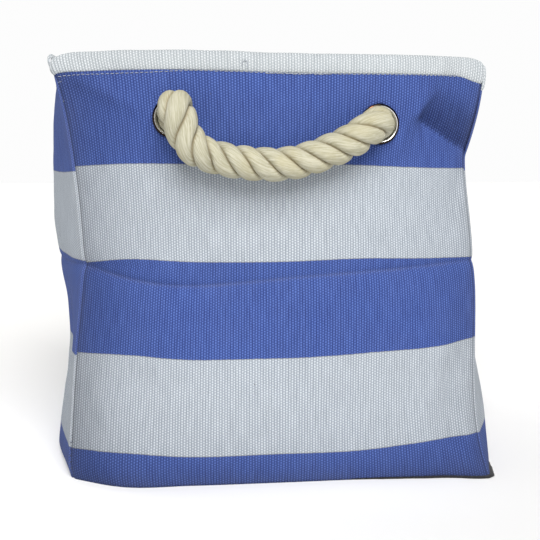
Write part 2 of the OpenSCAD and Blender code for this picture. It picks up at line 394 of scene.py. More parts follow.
def wall_points(side, s, z):
    """Outer face of a wall at width shares s and cloth heights z, as rows of x, y, z."""
    s = np.asarray(s, float).ravel()
    z = np.asarray(z, float).ravel()
    out, along = AXES[side]
    half, reach, r = wall_shape(side)
    angle = s * math.asin(half / r)
    flat = np.minimum(z, RIM_Z)
    base = np.outer(r * np.sin(angle), along) + np.outer(reach - r + r * np.cos(angle), out)
    normal = np.outer(np.cos(angle), out) + np.outer(np.sin(angle), along)
    one = np.ones_like(s)
    calm = eyelet_calm(side, s, flat)
    amount = push_out(side, s, flat) * calm
    corner = np.abs(s) ** 6
    face = amount + (relief(side, s, flat) + undulation(side, s, flat)) * calm
    ends = np.where(s < 0, -1.0, 1.0)
    own_end = own_push(side, ends, flat)
    point = base + np.outer(own_end * corner, out)
    rest = face - own_end * corner
    point += normal * rest[:, None]
    for sign, neighbour in ((-1, LEFT_OF[side]), (1, RIGHT_OF[side])):
        fade = np.clip(sign * s, 0, 1) ** 1.6
        slide = own_push(neighbour, -sign * one, flat)
        point += np.outer(slide * fade, AXES[neighbour][0])
    edge = (1 - np.abs(s)) * wall_width(side) / 2
    tuck = SEAM_TUCK * np.clip(1 - edge / SEAM_WIDTH, 0, 1) ** 2
    foot_in, foot_from = FOOT[side]
    foot = foot_in * MM * np.clip(1 - flat / (foot_from * MM), 0, 1) ** 2
    point -= np.outer(tuck + foot * smooth(edge, 0, 0.035), out)
    point -= np.outer(tuck * ends, along)
    point[:, 2] = z - drop(side, s, flat)
    return point


def own_push(side, s, z):
    """How far a wall's end stands out, with its crease and folds, where two walls meet."""
    return push_out(side, s, z) + relief(side, s, z)


def print_height(side, s, z):
    """Height within the printed stripes, for a cloth height z: the print is not quite level."""
    s = np.asarray(s, float).ravel()
    z = np.asarray(z, float).ravel()
    if side not in PRINT_LIFT:
        return z
    return z - net_value(PRINT_LIFT[side], PRINT_LEVELS, SHARES, z, s) * MM


# ---- Mesh helpers --------------------------------------------------------------------------


def make_mesh(name, verts, faces, materials, uv=None, slots=None, attributes=None):
    mesh = bpy.data.meshes.new(name)
    mesh.from_pydata([tuple(v) for v in verts], [], [tuple(int(i) for i in f) for f in faces])
    for m in materials:
        mesh.materials.append(m)
    mesh.polygons.foreach_set("use_smooth", [True] * len(mesh.polygons))
    if slots is not None:
        mesh.polygons.foreach_set("material_index", np.asarray(slots, np.int32))
    if uv is not None:
        layer = mesh.uv_layers.new(name="cloth")
        loops = np.zeros(len(mesh.loops), np.int32)
        mesh.loops.foreach_get("vertex_index", loops)
        layer.data.foreach_set("uv", np.asarray(uv, np.float32)[loops].ravel())
    for key, values in (attributes or {}).items():
        layer = mesh.attributes.new(key, "FLOAT", "POINT")
        layer.data.foreach_set("value", np.asarray(values, np.float32))
    mesh.update()
    obj = bpy.data.objects.new(name, mesh)
    bpy.context.scene.collection.objects.link(obj)
    return obj


def grid_faces(rows, columns, start=0, flip=False, wrap=False):
    """Quads of a grid stored row by row. wrap joins its last column to its first."""
    r = np.arange(rows - 1)[:, None]
    c = np.arange(columns if wrap else columns - 1)[None, :]
    nxt = (c + 1) % columns
    a = r * columns + c
    b = r * columns + nxt
    quads = np.stack([a, b, b + columns, a + columns], -1).reshape(-1, 4) + start
    return quads[:, ::-1] if flip else quads


def grid_normals(points, rows, columns):
    p = points.reshape(rows, columns, 3)
    du = np.gradient(p, axis=1)
    dv = np.gradient(p, axis=0)
    n = np.cross(du, dv)
    n /= np.linalg.norm(n, axis=2, keepdims=True) + 1e-12
    return n.reshape(-1, 3)


def finish_piece(obj, body, slot, *nodes):
    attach(obj, body)
    if nodes:
        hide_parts(*nodes)
    return obj


# ---- Material helpers ----------------------------------------------------------------------


def linear(r, g, b):
    """Linear colour from 0-255 screen values."""
    def one(v):
        v = v / 255
        return v / 12.92 if v <= 0.04045 else ((v + 0.055) / 1.055) ** 2.4
    return (one(r), one(g), one(b), 1.0)


class Paint:
    """A small node-tree builder: values, maths and mixes wired to one Principled shader."""

    def __init__(self, name, roughness=0.8, metallic=0.0, specular=0.3, sheen=0.0):
        self.material = bpy.data.materials.new(name)
        self.material.use_nodes = True
        self.tree = self.material.node_tree
        self.shader = self.tree.nodes["Principled BSDF"]
        self.shader.inputs["Roughness"].default_value = roughness
        self.shader.inputs["Metallic"].default_value = metallic
        self.shader.inputs["Specular IOR Level"].default_value = specular
        self.shader.inputs["Sheen Weight"].default_value = sheen

    def node(self, kind, inputs, **settings):
        """A new node. inputs maps its sockets to values or to other nodes' outputs."""
        n = self.tree.nodes.new(kind)
        for key, value in settings.items():
            setattr(n, key, value)
        for key, value in inputs.items():
            self.wire(value, n.inputs[key])
        return n

    def wire(self, value, socket):
        if hasattr(value, "is_output"):
            self.tree.links.new(value, socket)
        else:
            socket.default_value = value

    def math(self, operation, a, b=0.0, c=0.0):
        return self.node("ShaderNodeMath", {0: a, 1: b, 2: c}, operation=operation).outputs[0]

    def times(self, a, b):
        return self.math("MULTIPLY", a, b)

    def times_add(self, a, b, c):
        return self.math("MULTIPLY_ADD", a, b, c)

    def uv(self):
        where = self.node("ShaderNodeUVMap", {}, uv_map="cloth").outputs[0]
        split = self.node("ShaderNodeSeparateXYZ", {0: where})
        return where, split.outputs[0], split.outputs[1]

    def place(self):
        return self.node("ShaderNodeTexCoord", {}).outputs["Object"]

    def attribute(self, name):
        return self.node("ShaderNodeAttribute", {}, attribute_name=name).outputs["Fac"]

    def noise(self, where, scale, detail=3.0, roughness=0.5, distortion=0.0):
        shape = {"Scale": scale, "Detail": detail, "Roughness": roughness, "Distortion": distortion}
        return self.node("ShaderNodeTexNoise", {"Vector": where, **shape}).outputs[0]

    def stretched(self, where, scale):
        return self.node("ShaderNodeMapping", {"Vector": where, "Scale": scale}).outputs[0]

    def band(self, value, low, high, to_low=0.0, to_high=1.0):
        ends = {0: value, 1: low, 2: high, 3: to_low, 4: to_high}
        return self.node("ShaderNodeMapRange", ends, interpolation_type="SMOOTHSTEP").outputs[0]

    def mix(self, share, a, b, blend="MIX"):
        sockets = {"Factor": share, 6: a, 7: b}
        return self.node("ShaderNodeMix", sockets, data_type="RGBA", blend_type=blend).outputs[2]

    def colour(self, value):
        self.wire(value, self.shader.inputs["Base Color"])

    def roughness(self, value):
        self.wire(value, self.shader.inputs["Roughness"])

    def bump(self, height, distance, strength=1.0):
        n = self.node("ShaderNodeBump", {"Height": height, "Distance": distance, "Strength": strength})
        self.wire(n.outputs[0], self.shader.inputs["Normal"])


def weave_height(p, u, v):
    """Plain weave: thick warp threads in columns, which stand over and under the weft in turn."""
    across = p.math("SINE", p.times(u, math.pi / WARP_PITCH))
    up = p.math("COSINE", p.times(v, math.pi / WEFT_PITCH))
    over = p.times(across, up)
    warp = p.times_add(p.math("ABSOLUTE", across), 0.70, p.times(over, 0.30))
    weft = p.times_add(p.math("ABSOLUTE", up), 0.40, p.times(over, -0.30))
    return p.math("MAXIMUM", warp, weft), warp


# ---- Materials -----------------------------------------------------------------------------

# Canvas colours, with lighter copies that are painted highlight on the crowns of the threads and darker
# copies that are painted shade in the gaps between them.
BLUE = linear(50, 70, 131)
BLUE_HIGHLIGHT = linear(82, 107, 175)
BLUE_SHADE = linear(20, 30, 84)
WHITE = linear(149, 156, 165)
WHITE_HIGHLIGHT = linear(194, 201, 209)
WHITE_SHADE = linear(96, 106, 116)
HEM_WHITE = linear(168, 174, 178)
HEM_HIGHLIGHT = linear(203, 207, 211)


def canvas_material(name, striped):
    """Striped wall canvas, or the plain and paler canvas of the hems."""
    p = Paint(name, roughness=0.85, specular=0.2)
    where, u, v = p.uv()
    wobble = p.times_add(p.noise(where, 260.0, 2.0), 0.0005, -0.00025)
    uu = p.math("ADD", u, wobble)
    vv = p.math("ADD", v, wobble)
    height, warp = weave_height(p, uu, vv)
    slub = p.times_add(p.noise(p.stretched(where, (1.0, 0.12, 1.0)), 520.0, 2.0), 0.5, -0.25)
    # Painted highlight on the crowns of the warp threads (dots) and painted shade in the gaps between
    # threads (holes).
    lit = p.math("ADD", warp, slub)
    dots = p.band(lit, 0.42, 0.95)
    holes = p.band(p.math("ADD", height, slub), 0.46, 0.10)
    white = p.mix(dots, WHITE, WHITE_HIGHLIGHT) if striped else p.mix(dots, HEM_WHITE, HEM_HIGHLIGHT)
    white = p.mix(p.times(holes, 0.55 if striped else 0.4), white, WHITE_SHADE)
    if striped:
        blue = p.mix(dots, BLUE, BLUE_HIGHLIGHT)
        blue = p.mix(p.times(holes, 0.7), blue, BLUE_SHADE)
        turns = p.times_add(vv, 0.5 / STRIPE_HEIGHT, -0.5 * STRIPE_START / STRIPE_HEIGHT)
        wave = p.math("SINE", p.times(turns, 2 * math.pi))
        is_white = p.band(wave, -0.012, 0.012)
        edge = p.band(p.math("ABSOLUTE", wave), 0.03, 0.0)
        colour = p.mix(is_white, blue, white)
        colour = p.mix(p.times(edge, 0.45), colour, linear(112, 110, 100))
    else:
        colour = white
    broad = p.noise(where, 9.0, 4.0, 0.55)
    colour = p.mix(p.band(broad, 0.3, 0.75, 0.0, 0.16), colour, linear(226, 230, 236), "SOFT_LIGHT")
    # Grey grime, which also stands in for painted shade at the foot, the corner seams and the crease.
    grime_and_shade = p.times(p.noise(where, 34.0, 4.0, 0.6), p.attribute("grime_shade_and_reflection"))
    colour = p.mix(p.times(grime_and_shade, 0.30), colour, linear(112, 110, 108))
    if striped:
        # Painted shade: the "deep" attribute darkens the stripes in the dents, beside the seams and towards
        # the foot.
        colour = p.mix(p.times(p.attribute("deep"), 0.42), colour, linear(22, 34, 66), "MULTIPLY")
    speck = p.band(p.noise(where, 420.0, 1.0), 0.80, 0.84)
    colour = p.mix(p.times(speck, 0.6), colour, linear(70, 64, 58))
    p.colour(colour)
    p.roughness(p.band(height, 0.1, 1.0, 0.92, 0.78))
    fibre = p.noise(where, 1500.0, 2.0)
    p.bump(p.times_add(fibre, 0.18, height), 0.35 * MM, 0.8)
    return p.material


def coating_material():
    """Inside of the canvas: a pale waterproof film with the weave showing faintly through."""
    p = Paint("inside_coating", roughness=0.5, specular=0.4)
    where, u, v = p.uv()
    height, _ = weave_height(p, u, v)
    blot = p.noise(where, 18.0, 4.0, 0.6)
    colour = p.mix(p.band(blot, 0.35, 0.7), linear(196, 198, 202), linear(214, 215, 216))
    colour = p.mix(p.times(p.band(height, 0.5, 0.1), 0.35), colour, linear(160, 164, 172))
    creased = p.band(p.noise(where, 60.0, 6.0, 0.7, 1.5), 0.60, 0.66)
    colour = p.mix(p.times(creased, 0.25), colour, linear(232, 232, 232))
    p.colour(colour)
    p.roughness(p.band(blot, 0.3, 0.7, 0.42, 0.6))
    p.bump(p.times_add(blot, 0.6, height), 0.18 * MM, 0.6)
    return p.material


def thread_material(name, colour, dark):
    p = Paint(name, roughness=0.6, specular=0.3, sheen=0.2)
    where, u, v = p.uv()
    twist = p.math("SINE", p.times(p.math("ADD", u, v), 9000.0))
    p.colour(p.mix(p.band(twist, -1.0, 1.0), dark, colour))
    p.bump(twist, 0.05 * MM, 0.6)
    return p.material


def nonwoven_material(name, colour, light):
    """Spun-bonded cloth: matt, with a fine field of pressed dots and stray fibres."""
    p = Paint(name, roughness=0.9, specular=0.2, sheen=0.15)
    where, u, v = p.uv()
    a = p.math("SINE", p.times(p.math("ADD", u, v), 2100.0))
    b = p.math("SINE", p.times(p.math("SUBTRACT", u, v), 2100.0))
    dots = p.band(p.times(a, b), 0.35, 0.8)
    fibre = p.noise(p.stretched(where, (1.0, 0.25, 1.0)), 900.0, 4.0, 0.7)
    colour_out = p.mix(p.band(fibre, 0.35, 0.75), colour, light)
    colour_out = p.mix(p.times(dots, 0.5), colour_out, colour)
    p.colour(colour_out)
    p.roughness(p.band(fibre, 0.3, 0.8, 0.78, 0.95))
    p.bump(p.times_add(dots, -0.8, fibre), 0.12 * MM, 0.8)
    return p.material


def chrome_material():
    """Polished on the lip's crown. Its outer edge is brown where the attribute is high: painted dark
    reflection, with a few real tarnish spots, and brass patches that are also a painted warm glint.
    """
    p = Paint("chrome", roughness=0.16, metallic=1.0, specular=0.5)
    where = p.place()
    scratch = p.noise(p.stretched(where, (1.0, 1.0, 0.15)), 2600.0, 3.0, 0.6)
    spots = p.noise(where, 420.0, 3.0, 0.6)
    # Brown on the lip's outer half: painted dark reflection, with tarnish spots.
    tarnish_and_dark_reflection = p.band(p.times_add(spots, 0.35, p.attribute("grime_shade_and_reflection")), 0.55, 0.80)
    # Brass patches, which also stand in for a painted warm glint.
    brass_and_glint = p.band(p.noise(where, 130.0, 2.0), 0.52, 0.70)
    brown = p.mix(p.times(brass_and_glint, 0.6), linear(46, 38, 32), linear(150, 96, 60))
    p.colour(p.mix(tarnish_and_dark_reflection, linear(238, 238, 240), brown))
    p.roughness(p.band(scratch, 0.35, 0.75, 0.08, 0.24))
    p.bump(scratch, 0.02 * MM, 0.4)
    return p.material


def rope_material():
    """Undyed cotton: fine yarns along each strand, with a little painted shade in the grooves between
    strands.
    """
    p = Paint("cotton_rope", roughness=0.95, specular=0.1)
    where, u, v = p.uv()
    fibre = p.noise(p.stretched(where, (1.0, 0.12, 1.0)), 2200.0, 3.0, 0.6)
    yarn = p.noise(p.stretched(where, (1.0, 0.08, 1.0)), 1000.0, 3.0, 0.6)
    patch = p.noise(p.place(), 60.0, 3.0, 0.5)
    groove_shade = p.attribute("groove_shade")
    colour = p.mix(p.band(yarn, 0.34, 0.66), linear(158, 155, 133), linear(185, 182, 163))
    colour = p.mix(p.band(fibre, 0.50, 0.72, 0.0, 0.6), colour, linear(200, 198, 184))
    colour = p.mix(p.band(patch, 0.40, 0.7, 0.0, 0.4), colour, linear(174, 166, 132))
    # Painted shade in the grooves between strands.
    colour = p.mix(p.times(groove_shade, 0.5), colour, linear(136, 118, 84))
    p.colour(colour)
    height = p.times_add(yarn, 1.2, fibre)
    p.bump(height, 0.35 * MM, 0.7)
    return p.material


def board_material():
    p = Paint("greyboard", roughness=0.9, specular=0.2)
    where = p.place()
    pulp = p.noise(where, 900.0, 5.0, 0.7)
    fleck = p.band(p.noise(where, 1700.0, 1.0), 0.68, 0.74)
    colour = p.mix(p.band(pulp, 0.3, 0.7), linear(128, 118, 104), linear(160, 150, 134))
    p.colour(p.mix(p.times(fleck, 0.6), colour, linear(84, 78, 70)))
    p.bump(pulp, 0.1 * MM, 0.6)
    return p.material


def floor_material():
    p = Paint("floor", roughness=0.7, specular=0.2)
    p.colour(linear(250, 250, 250))
    return p.material


STRIPES = canvas_material("striped_canvas", True)
WHITE_CANVAS = canvas_material("white_canvas", False)
COATING = coating_material()
HEM_THREAD = thread_material("hem_thread", linear(190, 195, 204), linear(140, 146, 158))
SEAM_THREAD = thread_material("seam_thread", linear(44, 52, 92), linear(18, 22, 44))
BLACK_CLOTH = nonwoven_material("black_nonwoven", linear(24, 24, 27), linear(52, 52, 56))
CHROME = chrome_material()
COTTON = rope_material()
GREYBOARD = board_material()

# ---- Camera, floor and light ---------------------------------------------------------------

CAMERA_AT = (-0.0629, -0.7467, 0.200)
CAMERA_YAW = 5.5
CAMERA_DOWN = 6.3
CAMERA_LENS = 66.53
# Sky: sine of the elevation up to which it is white, that above which it is dim, and how dim
HORIZON_TOP = 0.18
SKY_BASE = 0.32
SKY_WHITE = 0.98
SKY_DIM = 0.12
FLOOR_HALF = 8.0
# Suns: where each shines from, its strength, its spread in degrees, and its colour
SUNS = {
    "key": ((0.04, -1.15, 0.96), 4.1, 42, (1.0, 0.985, 0.96)),
    "fill": ((-0.9, 1.2, 1.6), 0.6, 40, (1, 1, 1)),
}


def make_camera():
    data = bpy.data.cameras.new("camera")
    data.lens = CAMERA_LENS
    data.sensor_width = 36
    data.clip_start = 0.01
    data.clip_end = 20
    cam = bpy.data.objects.new("camera", data)
    cam.location = CAMERA_AT
    cam.rotation_euler = (math.radians(90 - CAMERA_DOWN), 0, math.radians(-CAMERA_YAW))
    bpy.context.scene.collection.objects.link(cam)
    bpy.context.scene.camera = cam


def make_floor():
    r = FLOOR_HALF
    corners = [(-r, -r, 0), (r, -r, 0), (r, r, 0), (-r, r, 0)]
    make_mesh("floor", corners, [(0, 1, 2, 3)], [floor_material()])


def soft_sun(name, at, strength, spread, colour):
    """Even light from the direction of the point at, towards the middle of the floor."""
    data = bpy.data.lights.new(name, "SUN")
    data.energy = strength
    data.angle = math.radians(spread)
    data.color = colour
    obj = bpy.data.objects.new(name, data)
    obj.location = at
    obj.rotation_euler = (-Vector(at)).to_track_quat("-Z", "Y").to_euler()
    bpy.context.scene.collection.objects.link(obj)


def make_light():
    """White near the horizon and dimmer overhead, with a soft key from the front and a weaker fill."""
    world = bpy.data.worlds.new("studio")
    world.use_nodes = True
    nodes, links = world.node_tree.nodes, world.node_tree.links
    place = nodes.new("ShaderNodeTexCoord")
    split = nodes.new("ShaderNodeSeparateXYZ")
    fade = nodes.new("ShaderNodeMapRange")
    fade.interpolation_type = "SMOOTHSTEP"
    for i, value in enumerate((HORIZON_TOP, SKY_BASE, SKY_WHITE, SKY_DIM)):
        fade.inputs[i + 1].default_value = value
    links.new(place.outputs["Generated"], split.inputs[0])
    links.new(split.outputs["Z"], fade.inputs[0])
    links.new(fade.outputs[0], nodes["Background"].inputs["Strength"])
    nodes["Background"].inputs["Color"].default_value = (1.0, 1.0, 1.0, 1)
    bpy.context.scene.world = world
    for name, settings in SUNS.items():
        soft_sun(name, *settings)
    bpy.context.scene.view_settings.view_transform = "Standard"


# ---- Rope ----------------------------------------------------------------------------------

ROPE_LAY = 38 * MM
LOOP_LEAN = math.radians(6)
PIVOT_Y = 0.16080
# The hanging handle's middle line, as in part.scad: across the wall, and below the eyelets
LOOP_ROUTE = [
    (-0.064, 0.005), (-0.061, 0.011), (-0.056, 0.0165), (-0.049, 0.021), (-0.040, 0.025),
    (-0.030, 0.0275), (-0.018, 0.0287), (-0.006, 0.0285), (0.006, 0.0265), (0.018, 0.0225),
    (0.029, 0.018), (0.039, 0.0135), (0.049, 0.009), (0.058, 0.0045),
]
# Its ends on the soft wall, in the rope's own order from left to right: [along the wall, out from
# it, up] in millimetres from each eyelet's centre. The left end rises before it hangs.
LEFT_END = [
    (0, -16, 0), (0, -8, 0), (0.6, 0, 0.6), (1.7, 7.5, 3.8), (2.8, 14.0, 6.0), (4.2, 18.8, 3.2),
    (6.4, 20.0, -4.0), (9.6, 19.4, -12.0), (14.2, 18.4, -18.3),
]
RIGHT_END = [(-9.5, 11.2, -2.8), (-4.0, 7.6, 0.2), (-1.2, 0.6, 0.8), (-0.4, -8, 0.3), (0, -16, 0)]
# How much lower the rope hangs than the CAD's on its right, and higher on its left
SWAY = 1.7 * MM
# The hanging route is used between these two places across the wall
LEFT_JOIN = -0.044
RIGHT_JOIN = 0.046
STRANDS = 3
STRAND_OUT = 5.4 * MM
STRAND_DEEP = 4.6 * MM
STRAND_WIDE = 6.3 * MM
ROPE_SIDES = 132
ROPE_STEP = 0.8 * MM
# Yarns round each third of the rope, how far they stand up, and how steeply they run across a strand
YARNS = 27
ROPE_PHASE = 0.6
YARN_RISE = 0.22 * MM
YARN_SLANT = 0.7
LOOP_THICKNESS = [0.95, 0.99, 1.06, 1.04, 1.0, 1.0, 1.0, 1.0, 1.02, 1.03, 1.01, 0.97]
KNOT_PHASE = 1.1
KNOT_THICKNESS = [0.95, 0.97, 0.97]


def through_eyelet(sign, out, along=0.0, up=0.0):
    """A point at a front eyelet: out from the wall's face, along it to the right, and up, in metres."""
    r = wall_shape("front")[2]
    turn = eyelet_turn(sign)
    return np.array([
        (r + out) * math.sin(turn) + along * math.cos(turn),
        -(FRONT_REACH - r + (r + out) * math.cos(turn)) + along * math.sin(turn),
        EYELET_Z - EYELET_DROP["left" if sign < 0 else "right"] + up,
    ])


def front_route():
    left = [through_eyelet(-1, out * MM, along * MM, up * MM) for along, out, up in LEFT_END]
    right = [through_eyelet(1, out * MM, along * MM, up * MM) for along, out, up in RIGHT_END]
    hang = []
    for x, below in LOOP_ROUTE:
        if LEFT_JOIN < x < RIGHT_JOIN:
            y = -(PIVOT_Y + below * math.sin(LOOP_LEAN))
            sway = SWAY * math.sin(math.pi * x / EYELET_X)
            hang.append(np.array([x, y, EYELET_Z - below * math.cos(LOOP_LEAN) - sway]))
    return np.array(left + hang + right)


def even_path(points, step):
    """Points at even distances along a smooth curve through the given ones."""
    points = np.asarray(points, float)
    knots = np.concatenate([[0], np.cumsum(np.linalg.norm(np.diff(points, axis=0), axis=1))])
    dense = natural_spline(knots, points, np.linspace(0, knots[-1], 40 * len(points)))
    run = np.concatenate([[0], np.cumsum(np.linalg.norm(np.diff(dense, axis=0), axis=1))])
    count = max(8, int(round(run[-1] / step)) + 1)
    at = np.linspace(0, run[-1], count)
    return np.stack([np.interp(at, run, dense[:, i]) for i in range(3)], 1), at


def carried_frames(path):
    """Direction of travel, and two crosswise directions carried along without twist."""
    t = np.gradient(path, axis=0)
    t /= np.linalg.norm(t, axis=1, keepdims=True)
    first = np.cross(t[0], [0, 0, 1.0])
    if np.linalg.norm(first) < 0.1:
        first = np.cross(t[0], [0, 1.0, 0])
    n = [first / np.linalg.norm(first)]
    for i in range(1, len(path)):
        v = n[-1] - t[i] * (n[-1] @ t[i])
        n.append(v / np.linalg.norm(v))
    n = np.array(n)
    return t, n, np.cross(t, n)


def strand_radius(psi):
    """Distance from the rope's middle to its surface, psi radians from a strand's crest."""
    c, s = np.cos(psi), np.sin(psi)
    a = c**2 / STRAND_DEEP**2 + s**2 / STRAND_WIDE**2
    b = STRAND_OUT * c / STRAND_DEEP**2
    k = STRAND_OUT**2 / STRAND_DEEP**2 - 1
    return (b + np.sqrt(np.maximum(b * b - a * k, 0))) / a


def rope_rings(path, at, phase, seed, scale):
    """Rings of rope surface: scale is a factor on the thickness for each ring."""
    rng = np.random.default_rng(seed)
    t, n, b = carried_frames(path)
    k = np.arange(ROPE_SIDES)
    local = 2 * math.pi * k / ROPE_SIDES
    third = 2 * math.pi / STRANDS
    psi = (local + third / 2) % third - third / 2
    strand = np.floor((local + third / 2) / third).astype(int) % STRANDS
    drift = 0.10 * np.sin(2 * math.pi * at / 0.083 + rng.uniform(0, 6))
    drift = drift + 0.06 * np.sin(2 * math.pi * at / 0.031)
    turn = phase + 2 * math.pi * at / ROPE_LAY + drift
    plump = 1 + 0.022 * np.sin(2 * math.pi * at[:, None] / 0.047 + strand[None, :] * 2.1 + rng.uniform(0, 6))
    slant = YARN_SLANT * 2 * math.pi * at[:, None] / ROPE_LAY
    yarn = np.abs(np.sin(0.5 * YARNS * (psi[None, :] + slant + strand[None, :])))
    yarns = YARN_RISE * (yarn - 0.6)
    edge = np.abs(psi) / (third / 2)
    radius = strand_radius(psi)[None, :] * plump * scale[:, None] + yarns * (1 - edge[None, :] ** 4)
    ang = turn[:, None] + local[None, :]
    outward = np.cos(ang)[:, :, None] * n[:, None, :] + np.sin(ang)[:, :, None] * b[:, None, :]
    points = path[:, None, :] + radius[:, :, None] * outward
    # Mask for the painted shade in the grooves between strands.
    groove_shade = np.broadcast_to(smooth(edge, 0.80, 1.0)[None, :], ang.shape)
    round_rope = (psi[None, :] + slant + 2.3 * strand[None, :]) * ROPE_R
    uv = np.stack(np.broadcast_arrays(round_rope, at[:, None]), -1)
    return points.reshape(-1, 3), groove_shade.ravel(), uv.reshape(-1, 2)


def rope_mesh(name, points, phase, seed, thickness):
    """Thickness is a list of factors at even distances from the rope's start to its end."""
    path, at = even_path(points, ROPE_STEP)
    scale = np.interp(at, np.linspace(0, at[-1], len(thickness)), thickness)
    verts, groove_shade, uv = rope_rings(path, at, phase, seed, scale)
    rings = len(path)
    faces = grid_faces(rings, ROPE_SIDES, wrap=True).tolist()
    faces.append(list(range(ROPE_SIDES - 1, -1, -1)))
    top = (rings - 1) * ROPE_SIDES
    faces.append([top + i for i in range(ROPE_SIDES)])
    obj = make_mesh(name, verts, faces, [COTTON], uv, None, {"groove_shade": groove_shade})
    return obj, path, at[-1]


def turned_half(points):
    """The same points turned half round about the upright axis, for the back of the bin."""
    return np.asarray(points, float) * np.array([-1, -1, 1])


def handle_side(front):
    """The name of a side with a handle, and the function that takes the front's points to it."""
    return ("front", np.asarray) if front else ("back", turned_half)


def hand_of(sign, front):
    """Whether an end is its side's left or right one, as seen from the front of the bin."""
    return "left" if (sign < 0) == front else "right"


# A stopper knot inside: in along the eyelet's axis, back round itself, then down as a tail.
# Points are [in from the wall, sideways, up] in millimetres from the eyelet's centre.
KNOT = [
    (9, 0, 0), (18, 0, 0), (28, 1, 0), (37, 5, 2), (40, 12, 8), (34, 14, 16), (26, 6, 19),
    (21, -8, 16), (19, -16, 4), (20, -14, -9), (24, -2, -16), (30, 10, -13), (33, 15, -22),
    (31, 13, -34), (29, 11, -44),
]


def knot_route(side_sign):
    return np.array([
        through_eyelet(side_sign, -deep * MM, side_sign * aside * MM, up * MM) for deep, aside, up in KNOT
    ])


def build_handle(front):
    word, place = handle_side(front)
    route = place(front_route())
    rope, path, length = rope_mesh(f"{word}_rope", route, ROPE_PHASE, 3 if front else 4, LOOP_THICKNESS)
    for sign in (-1, 1):
        hand = hand_of(sign, front)
        bends = place(knot_route(sign))
        knot, _, _ = rope_mesh(f"{word}_{hand}_knot", bends, KNOT_PHASE, 7 + sign, KNOT_THICKNESS)
        finish_piece(knot, "bin", "cotton_rope", f"{word}_{hand}_rope_end")
    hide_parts(f"{word}_rope_loop")
    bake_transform(rope)
    tuple(place(through_eyelet(-1, 0)))


# ---- Walls ---------------------------------------------------------------------------------

WALL_STEP = 2.0 * MM
# Rows beside the crease, in millimetres: how far apart they are, and how far they go past it
CREASE_STEP = 0.7
CREASE_MARGIN = 4
# The wall stops this far under the rim, inside the hem
UNDER_RIM = 1.0 * MM
EYELET_HOLE = 11.3 * MM


def grime_and_shade_amount(side, s, z):
    """How much grey grime the canvas gets: dirt, and painted shade where it is most, at the foot, the corner
    seams and the crease.
    """
    edge = (1 - np.abs(s)) * wall_width(side) / 2
    fold = z - natural_spline(DROP_SHARES, CREASE_Z[side], s) * MM
    lines = 0.7 * np.exp(-((fold / (1.1 * MM)) ** 2))
    return np.clip(np.exp(-edge / (5 * MM)) + np.exp(-z / (6 * MM)) + lines + 0.25, 0, 1)


def painted_shade(side, s, z):
    """Painted shade: darkest beside the front and back seams, at the foot, and in the dents."""
    edge = (1 - np.abs(s)) * wall_width(side) / 2
    beside = np.where(s < 0, 1.0, 0.5) * (1.0 if side in ("front", "back") else 0.1)
    deep = beside * np.exp(-edge / (32 * MM)) + 0.8 * np.exp(-z / (22 * MM))
    for depth, share, above in valley_parts(side, s, z):
        if depth > 5 * MM:
            deep = deep + 1.3 * np.sqrt(share) * smooth(share, 0.1, 0.3) * above
    return np.clip(deep, 0, 1.2)


def outside_holes(points, faces, centres, radius):
    """True for each face that stays when round holes are cut at the centres."""
    mid = points[faces].mean(1)
    keep = np.ones(len(faces), bool)
    for c in centres:
        keep &= np.linalg.norm(mid - c, axis=1) > radius
    return keep


def shell_edges(outer_faces, count):
    """Faces that join the open edges of an outer grid to the same edges count points later."""
    edges = np.concatenate([outer_faces[:, [i, (i + 1) % 4]] for i in range(4)])
    seen = set(map(tuple, edges.tolist()))
    return [[b, a, a + count, b + count] for a, b in edges.tolist() if (b, a) not in seen]


def eyelet_centres(side):
    if side not in ("front", "back"):
        return []
    centres = [through_eyelet(-1, 0), through_eyelet(1, 0)]
    return centres if side == "front" else [turned_half(c) for c in centres]


def build_wall(side):
    width = wall_width(side)
    columns = int(round(width / WALL_STEP)) + 1
    top = RIM_Z - UNDER_RIM
    rows = int(round(top / WALL_STEP)) + 1
    s = np.linspace(-1, 1, columns)
    low, high = min(CREASE_Z[side]) - CREASE_MARGIN, max(CREASE_Z[side]) + CREASE_MARGIN
    at_fold = np.arange(low, high, CREASE_STEP) * MM
    levels = np.linspace(0, top, rows)
    levels = np.sort(np.concatenate([levels[(levels < at_fold[0]) | (levels > at_fold[-1])], at_fold]))
    rows = len(levels)
    ss, zz = np.meshgrid(s, levels)
    outer = wall_points(side, ss, zz)
    normal = grid_normals(outer, rows, columns)
    inner = outer - normal * CANVAS_T
    inner[:, 2] = np.maximum(inner[:, 2], 0)
    count = rows * columns
    faces_out = grid_faces(rows, columns)
    faces_in = grid_faces(rows, columns, count, flip=True)
    centres = eyelet_centres(side)
    if centres:
        keep = outside_holes(outer, faces_out, centres, EYELET_HOLE)
        faces_out, faces_in = faces_out[keep], faces_in[keep]
    edge_faces = shell_edges(faces_out, count)
    faces = faces_out.tolist() + faces_in.tolist() + edge_faces
    slots = [0] * len(faces_out) + [1] * len(faces_in) + [0] * len(edge_faces)
    u = (ss.ravel() + 1) / 2 * width
    v = print_height(side, ss.ravel(), zz.ravel())
    uv = np.stack([np.tile(u, 2), np.tile(v, 2)], 1)
    marks = {
        # Grime, also painted shade at the foot, the seams and the crease.
        "grime_shade_and_reflection": np.tile(grime_and_shade_amount(side, ss.ravel(), zz.ravel()), 2),
        # Painted shade in the dents, beside the seams and towards the foot.
        "deep": np.tile(painted_shade(side, ss.ravel(), zz.ravel()), 2),
    }
    verts = np.concatenate([outer, inner])
    obj = make_mesh(f"{side}_canvas", verts, faces, [STRIPES, COATING], uv, slots, marks)
    finish_piece(obj, "bin", "striped_canvas", f"{side}_panel")


# ---- Rim hems ------------------------------------------------------------------------------

